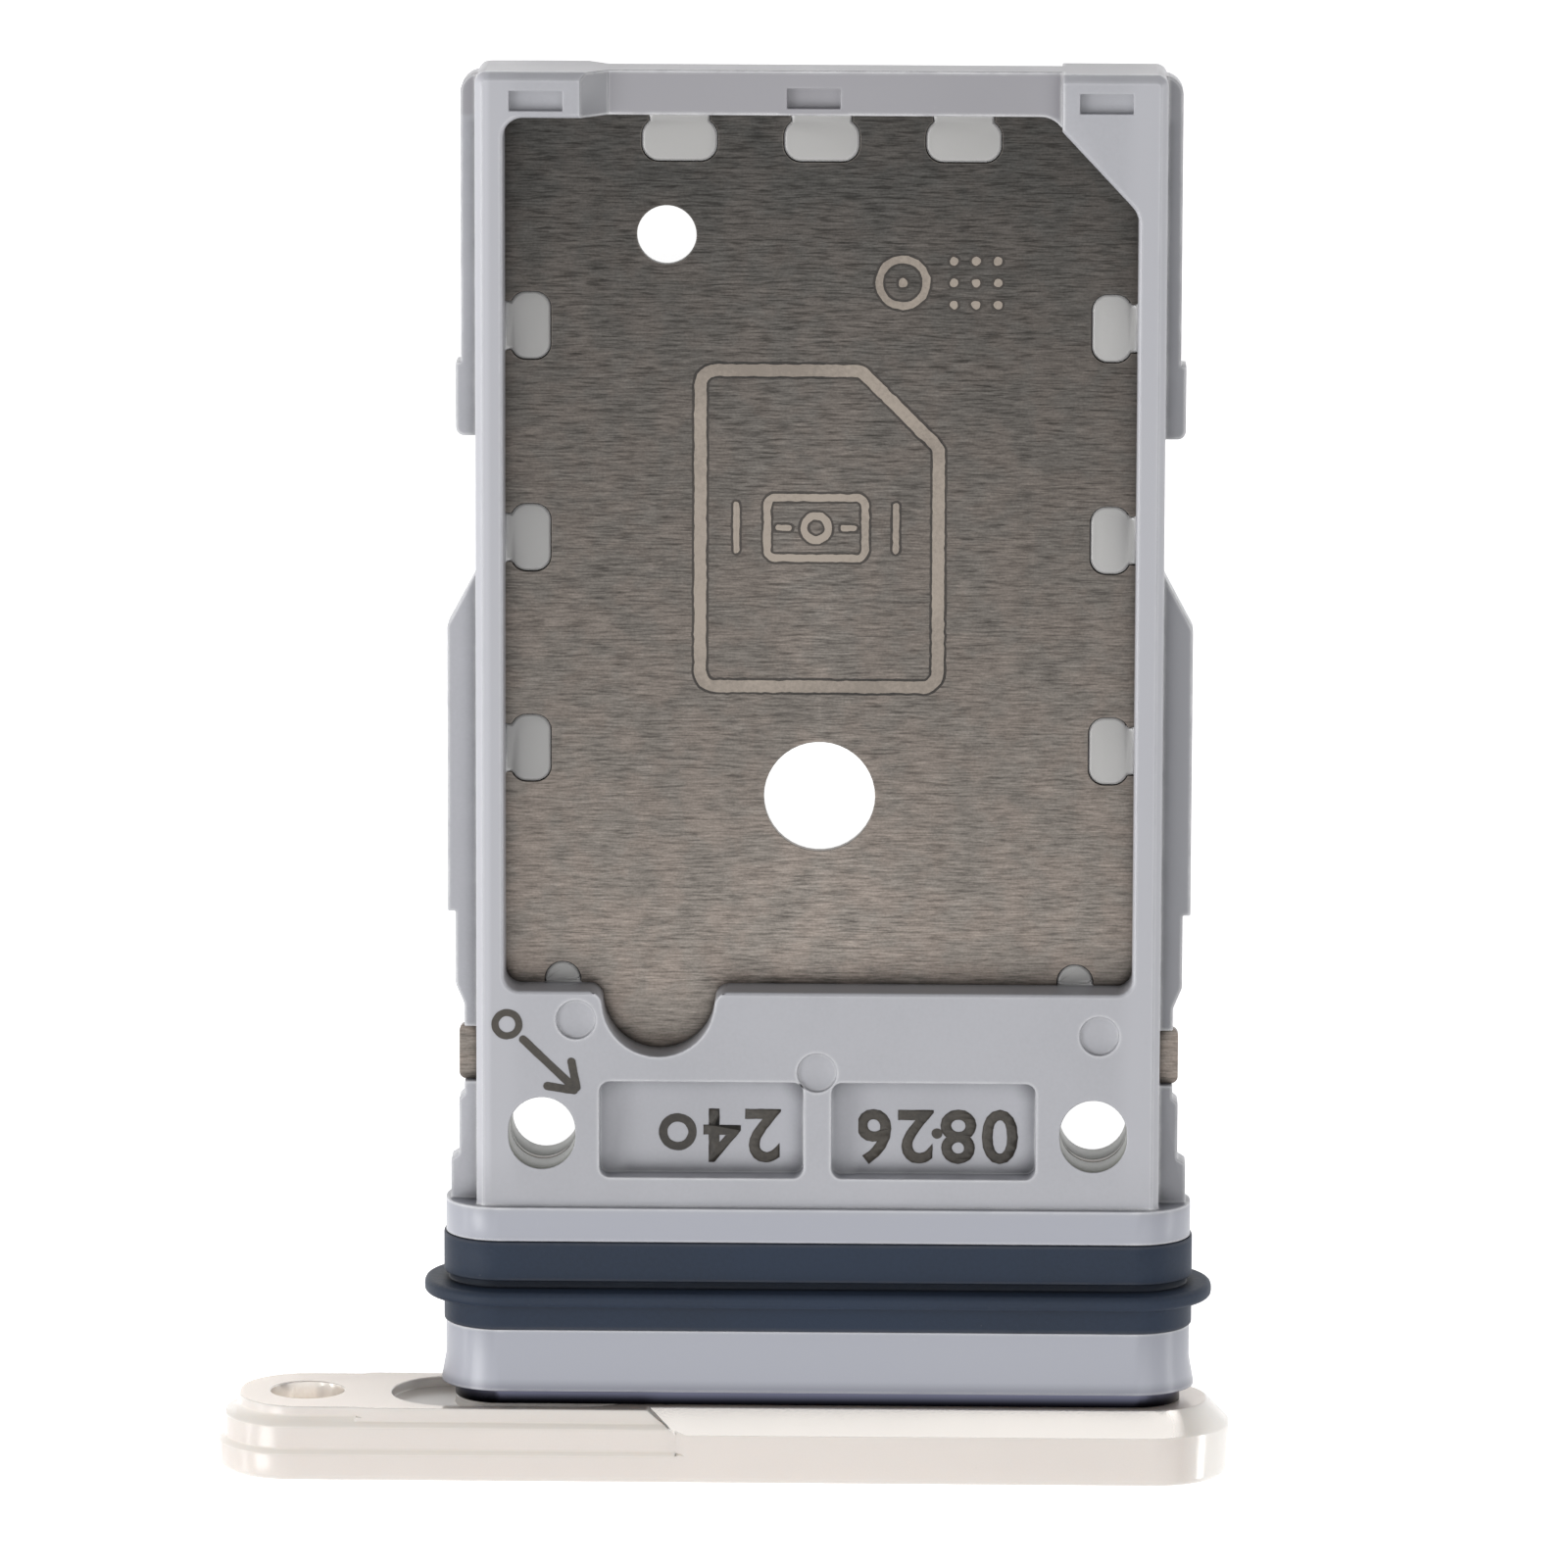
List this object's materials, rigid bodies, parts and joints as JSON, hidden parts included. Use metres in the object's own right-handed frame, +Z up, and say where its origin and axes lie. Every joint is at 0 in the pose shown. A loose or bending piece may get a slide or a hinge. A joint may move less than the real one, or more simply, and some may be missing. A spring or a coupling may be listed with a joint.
{
  "type": "sim card tray",
  "caption": "Double-sided nano SIM card tray: moulded card frame on a steel insert plate, with a rubber sealing ring and a pill-shaped metal bezel with an eject hole.",
  "frame": {"origin": "middle of the bounding box in plan, on the plane that the bezel's lower side lies on", "axes": "+Y from the bezel to the tip that enters the phone first, +Z up out of the pocket that the picture shows, +X along the bezel away from its eject hole"},
  "size_m": [0.0146, 0.0202, 0.0024],
  "materials": {
    "anodised_bezel": "bead-blasted, anodised warm white",
    "moulded_plastic": "fine satin, cool light grey",
    "brushed_plate": "brushed across the tray",
    "seal_rubber": "dark slate silicone"
  },
  "bodies": {
    "root": {"bezel": "anodised_bezel", "carrier_frame": "moulded_plastic", "steel_plate": "brushed_plate", "seal_ring": "seal_rubber"}
  },
  "joints": []
}
